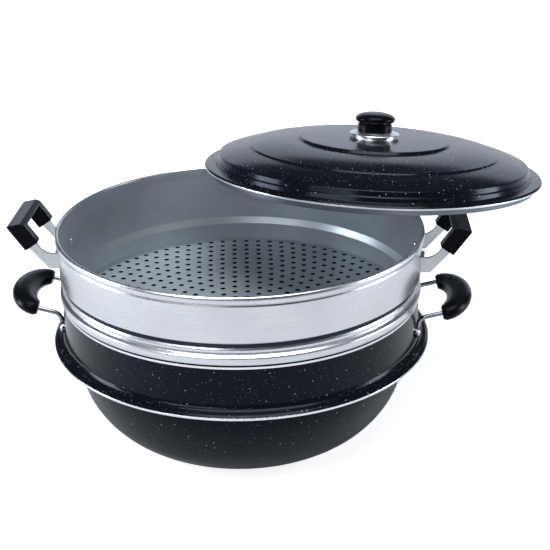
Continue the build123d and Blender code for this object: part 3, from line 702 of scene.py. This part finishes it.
# The grip at the right: an oval disc extruded along the bend, turned and filled out at each station
def makeCrescent(name):
    startMesh()
    spot = Vector((0, -crescent["spread"], 0))
    heading = 0.0
    width = crescent["endWidth"]
    thick = crescent["endThick"]
    bpy.ops.mesh.primitive_circle_add(vertices=crescent["sides"], radius=0.5 * mm, fill_type="NGON",
                                      location=spot * mm, rotation=(0, math.pi / 2, 0))
    piece = bpy.context.object
    piece.name = piece.data.name = name
    bpy.ops.object.transform_apply(location=True, rotation=True, scale=True)
    bpy.ops.object.mode_set(mode="EDIT")
    bpy.ops.mesh.select_all(action="SELECT")
    bpy.ops.transform.resize(value=(1, width, thick), center_override=spot * mm)
    for i in range(1, crescent["stations"] + 1):
        turn = math.radians(-90 + 180 * i / crescent["stations"])
        there = Vector((crescent["depth"] * math.cos(turn), crescent["spread"] * math.sin(turn), 0))
        bpy.ops.mesh.extrude_region_move(TRANSFORM_OT_translate={"value": (there - spot) * mm})
        newHeading = math.atan2(crescent["spread"] * math.cos(turn), -crescent["depth"] * math.sin(turn))
        # With no window this operator turns the other way
        bpy.ops.transform.rotate(value=heading - newHeading, orient_axis="Z", center_override=there * mm)
        fat = max(0.0, math.cos(turn)) ** crescent["fullness"]
        newWidth = crescent["endWidth"] + (crescent["width"] - crescent["endWidth"]) * fat
        newThick = crescent["endThick"] + (crescent["thick"] - crescent["endThick"]) * fat
        share = newWidth / width
        bpy.ops.transform.resize(value=(share, share, newThick / thick), center_override=there * mm)
        spot, heading, width, thick = there, newHeading, newWidth, newThick
    bpy.ops.mesh.select_all(action="SELECT")
    bpy.ops.mesh.normals_make_consistent(inside=False)
    bpy.ops.object.mode_set(mode="OBJECT")
    legX = math.sqrt(crescent["legRadius"] ** 2 - crescent["spread"] ** 2)
    startX = crescent["wallRadius"] + crescent["start"]
    reachX = startX + crescent["depth"] - legX
    startZ = crescent["bend"] + crescent["rise"] * (startX - legX) / reachX
    tilt = -math.atan2(crescent["rise"], reachX)
    place = Matrix.Translation(Vector((startX, 0, startZ)) * mm) @ Matrix.Rotation(tilt, 4, "Y")
    piece.data.transform(place)
    rounded = piece.modifiers.new("rounded", "BEVEL")
    rounded.width = crescent["edge"] * mm
    rounded.segments = crescent["edgeSteps"]
    rounded.angle_limit = math.radians(crescent["edgeDeg"])
    bpy.ops.object.modifier_apply(modifier="rounded")
    bpy.ops.object.shade_smooth_by_angle(angle=math.radians(crescent["smoothDeg"]))
    return piece


# A copy with its own mesh, half a turn round the pot
def oppositeCopy(piece, name):
    twin = piece.copy()
    twin.data = piece.data.copy()
    twin.name = twin.data.name = name
    twin.data.transform(Matrix.Rotation(math.pi, 4, "Z"))
    bpy.context.collection.objects.link(twin)
    return twin


rightCrescent = makeCrescent("pot_crescent_right")
leftCrescent = oppositeCopy(rightCrescent, "pot_crescent_left")
for side, piece in (("right", rightCrescent), ("left", leftCrescent)):
    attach(piece, "pot")
    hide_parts(f"pot_grip_{side}")
    dress(gripFinish, piece.name, f"steamer_grip_{side}")
    dress(wireFinish, f"pot_wire_{side}")
    dress(strapFinish, f"steamer_strap_{side}")
    dress(rivetFinish, f"pot_rivets_{side}", f"steamer_rivets_{side}")
print("handles made")

dress(plateFinish, "steam_plate")
# Brass is a warm yellow, zinc plating a pale grey, silicone a matt beige
dress(plainFinish("turnedBrass", "#a97b33", "#c79a4d", 0.3, 1.0), "knob_insert")
dress(plainFinish("zincPlatedSteel", "#a9abb0", "#c3c5ca", 0.32, 1.0), "knob_screw")
dress(plainFinish("mouldedSilicone", "#b5b0a6", "#c9c5bc", 0.55, 0.0), "knob_washer")
print("small parts dressed")


# Studio: a pale floor and a dim sky, soft light from above, a screen light behind, a key box high at the
# front left and a tall box at each side
studio = {
    "floor": (0.54, 0.55, 0.57), "floorSize": 40, "floorDrop": 0.0004, "glow": 0.84,
    "worldColour": "#8d9bb0", "worldStrength": 0.14,
    "topStrength": 3.4, "topSpreadDeg": 44, "topTurnDeg": (6, 3),
    "boxes": (  # name, place in m, aimed at, width and height in m, watts, colour
        ("backScreen", (0.2, 2.6, 0.75), (0.1, 0, 0.25), 3.6, 1.1, 15, "#d3dcec"),
        ("keyBox", (-0.9, -1.6, 1.6), (0, 0, 0.2), 1.3, 0.9, 24, "#f1f4f9"),
        ("leftBox", (-2.2, -0.2, 0.7), (0, 0, 0.2), 0.8, 1.4, 44, "#e6edf7"),
        ("rightBox", (2.3, 0, 0.7), (0, 0, 0.2), 0.7, 1.4, 36, "#e6edf7"),
    ),
}


def makeStudio():
    scene = bpy.context.scene
    startMesh()
    bpy.ops.mesh.primitive_plane_add(size=studio["floorSize"], location=(0, 0, -studio["floorDrop"]))
    floor = bpy.context.object
    floor.name = "floor"
    material, shader = newMaterial("paleFloor")
    # The floor glows for the camera alone, which keeps it pale and its light on the pot even
    seen = addNode(material, "ShaderNodeLightPath").outputs["Is Camera Ray"]
    glow = addNode(material, "ShaderNodeMath", {"operation": "MULTIPLY"}, {0: seen, 1: studio["glow"]})
    setInputs(material, shader, {
        "Base Color": [*studio["floor"], 1.0], "Roughness": 0.9, "Specular IOR Level": 0.0,
        "Emission Color": [1.0, 1.0, 1.0, 1.0], "Emission Strength": glow.outputs["Value"]})
    floor.data.materials.append(material)
    world = bpy.data.worlds.new("studio")
    scene.world = world
    world.use_nodes = True
    background = world.node_tree.nodes["Background"]
    background.inputs["Color"].default_value = linearColour(studio["worldColour"])
    background.inputs["Strength"].default_value = studio["worldStrength"]
    scene.view_settings.view_transform = "Standard"
    sun = bpy.data.lights.new("topLight", "SUN")
    sun.energy = studio["topStrength"]
    sun.angle = math.radians(studio["topSpreadDeg"])
    lamp = bpy.data.objects.new("topLight", sun)
    scene.collection.objects.link(lamp)
    lamp.rotation_euler = [math.radians(turn) for turn in studio["topTurnDeg"]] + [0]
    for name, place, aim, width, height, power, tint in studio["boxes"]:
        data = bpy.data.lights.new(name, "AREA")
        data.shape = "RECTANGLE"
        data.size = width
        data.size_y = height
        data.energy = power
        data.color = linearColour(tint)[:3]
        box = bpy.data.objects.new(name, data)
        scene.collection.objects.link(box)
        box.location = place
        box.rotation_euler = (Vector(aim) - Vector(place)).to_track_quat("-Z", "Y").to_euler()


makeStudio()

# Camera at the photograph's angle, place in mm
shot = {
    "place": (84.13, -1145.6, 659.5), "turnDeg": 2.466, "tiltDeg": 66.707, "rollDeg": -0.321,
    "lens": 79.78, "sensor": 36,
}
lensData = bpy.data.cameras.new("camera")
lensData.lens = shot["lens"]
lensData.sensor_width = shot["sensor"]
camera = bpy.data.objects.new("camera", lensData)
bpy.context.scene.collection.objects.link(camera)
camera.matrix_world = (Matrix.Translation(Vector(shot["place"]) * mm)
                       @ Matrix.Rotation(math.radians(shot["turnDeg"]), 4, "Z")
                       @ Matrix.Rotation(math.radians(shot["tiltDeg"]), 4, "X")
                       @ Matrix.Rotation(math.radians(shot["rollDeg"]), 4, "Z"))
bpy.context.scene.camera = camera
print("studio and camera set")
